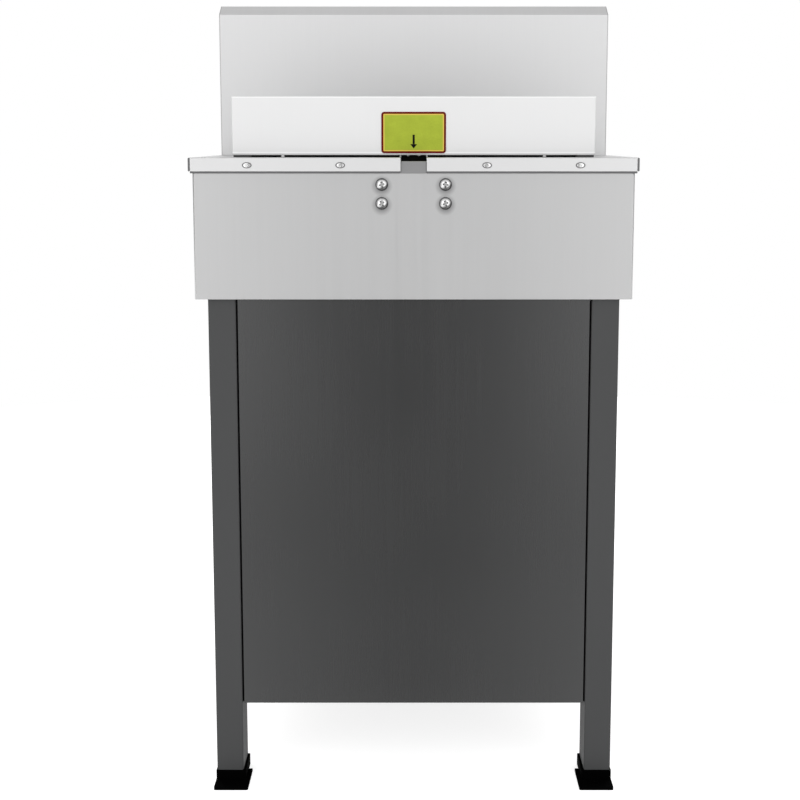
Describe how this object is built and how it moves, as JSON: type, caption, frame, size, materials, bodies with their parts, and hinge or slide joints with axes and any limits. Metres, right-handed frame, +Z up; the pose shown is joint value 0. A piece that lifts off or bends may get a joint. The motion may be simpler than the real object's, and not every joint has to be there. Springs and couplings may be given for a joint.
{
  "type": "electric paper cutter",
  "caption": "Floor-standing electric guillotine for paper: sheet-steel head over a slotted table, back gauge on a lead screw, hinged clear front guard and a cabinet stand with a door.",
  "frame": {"origin": "on the floor, under the middle of the machine's overall box", "axes": "+Z up; -Y towards the machine's rear, the side that the picture shows; +X to the right as seen from the rear"},
  "size_m": [0.6, 0.774, 1.1],
  "materials": {
    "brushed_sheet": "satin brushed sheet",
    "bright_sheet": "fine satin sheet",
    "dark_paint": "satin dark grey paint",
    "foot_rubber": "moulded black",
    "zinc_screw": "zinc plated",
    "cast_iron": "painted casting, machined faces",
    "ground_steel": "ground",
    "grey_plastic": "moulded grey",
    "black_plastic": "moulded black",
    "marker": "printed film",
    "stick_plastic": "moulded red",
    "clear_plastic": "clear sheet",
    "green_plastic": "moulded green",
    "red_plastic": "moulded red",
    "motor_paint": "satin blue grey paint"
  },
  "bodies": {
    "machine": {"stand_post_rear_left": "dark_paint", "stand_post_rear_right": "dark_paint", "stand_post_front_left": "dark_paint", "stand_post_front_right": "dark_paint", "foot_rear_left": "foot_rubber", "foot_rear_right": "foot_rubber", "foot_front_left": "foot_rubber", "foot_front_right": "foot_rubber", "stand_shelf": "dark_paint", "stand_rear_panel": "dark_paint", "stand_left_panel": "dark_paint", "stand_right_panel": "dark_paint", "hinge_pins": "ground_steel", "body_rear_panel": "brushed_sheet", "body_front_panel": "brushed_sheet", "body_left_panel": "brushed_sheet", "body_right_panel": "brushed_sheet", "body_floor": "brushed_sheet", "rear_table_left": "bright_sheet", "rear_table_right": "bright_sheet", "front_table": "bright_sheet", "cutting_bed": "ground_steel", "cutting_stick": "stick_plastic", "body_screws": "zinc_screw", "lip_screws": "zinc_screw", "spindle_blocks": "cast_iron", "guide_rods": "ground_steel", "head_rear_cover": "brushed_sheet", "head_left_cover": "brushed_sheet", "head_right_cover": "brushed_sheet", "head_front_cover": "brushed_sheet", "side_frame_left": "cast_iron", "side_frame_right": "cast_iron", "upper_crossbeam": "cast_iron", "knife_keepers": "ground_steel", "gear_motor": "motor_paint", "power_inlet": "black_plastic"},
    "gauge": {"gauge_plate": "ground_steel", "gauge_cover": "bright_sheet", "gauge_glides": "grey_plastic", "gauge_marker_plate": "marker", "gauge_carriage": "cast_iron", "gauge_screws": "zinc_screw"},
    "spindle": {"lead_screw": "ground_steel", "handwheel": "black_plastic"},
    "clamp": {"clamp_bar": "ground_steel", "clamp_rods": "ground_steel"},
    "clamp_wheel": {"clamp_nut_wheel": "ground_steel"},
    "knife": {"knife_bar": "cast_iron", "knife_blade": "ground_steel", "knife_bolts": "zinc_screw", "pull_rod": "ground_steel"},
    "crank": {"crank_disc": "ground_steel"},
    "guard_cover": {"guard": "clear_plastic"},
    "door": {"stand_door": "dark_paint", "door_handle": "ground_steel"},
    "left_button": {"cut_button_left": "green_plastic"},
    "right_button": {"cut_button_right": "green_plastic"},
    "stop_button": {"emergency_stop": "red_plastic"},
    "mains_knob": {"power_switch": "black_plastic"}
  },
  "joints": [
    {"name": "spindle_turn", "type": "hinge", "parent": "machine", "child": "spindle", "pos_m": [0, 0.36, 0.827], "axis": [0, 1, 0], "range_deg": [0, 10801]},
    {"name": "gauge_slide", "type": "slide", "parent": "machine", "child": "gauge", "axis": [0, 1, 0], "range_m": [0, 0.3]},
    {"name": "clamp_wheel_turn", "type": "hinge", "parent": "machine", "child": "clamp_wheel", "pos_m": [0, 0.076, 1.086], "axis": [0, 0, 1], "range_deg": [0, 5941]},
    {"name": "clamp_slide", "type": "slide", "parent": "machine", "child": "clamp", "axis": [0, 0, -1], "range_m": [0, 0.0825]},
    {"name": "knife_slide", "type": "slide", "parent": "machine", "child": "knife", "axis": [-0.2452, 0, -0.9695], "range_m": [0, 0.0897]},
    {"name": "crank_turn", "type": "hinge", "parent": "machine", "child": "crank", "pos_m": [-0.231, 0.156, 0.752], "axis": [0, 1, 0], "range_deg": [0, 180]},
    {"name": "guard_hinge", "type": "hinge", "parent": "machine", "child": "guard_cover", "pos_m": [0, 0.18, 0.979], "axis": [1, 0, 0], "range_deg": [0, 75]},
    {"name": "door_hinge", "type": "hinge", "parent": "machine", "child": "door", "pos_m": [-0.231, 0.345, 0.4], "axis": [0, 0, 1], "range_deg": [0, 110]},
    {"name": "left_button_press", "type": "slide", "parent": "machine", "child": "left_button", "axis": [0, -1, 0], "range_m": [0, 0.004], "stiffness_N_per_m": 400},
    {"name": "right_button_press", "type": "slide", "parent": "machine", "child": "right_button", "axis": [0, -1, 0], "range_m": [0, 0.004], "stiffness_N_per_m": 400},
    {"name": "stop_button_press", "type": "slide", "parent": "machine", "child": "stop_button", "axis": [0, -1, 0], "range_m": [0, 0.005]},
    {"name": "mains_knob_turn", "type": "hinge", "parent": "machine", "child": "mains_knob", "pos_m": [0.115, 0.36, 0.8], "axis": [0, 1, 0], "range_deg": [0, 90]}
  ],
  "couplings": [
    {"joint": "spindle_turn", "follows": "gauge_slide", "rad_per_m": 628.32},
    {"joint": "clamp_wheel_turn", "follows": "clamp_slide", "rad_per_m": 1256.6},
    {"joint": "crank_turn", "follows": "knife_slide", "rad_per_m": 35.008}
  ]
}
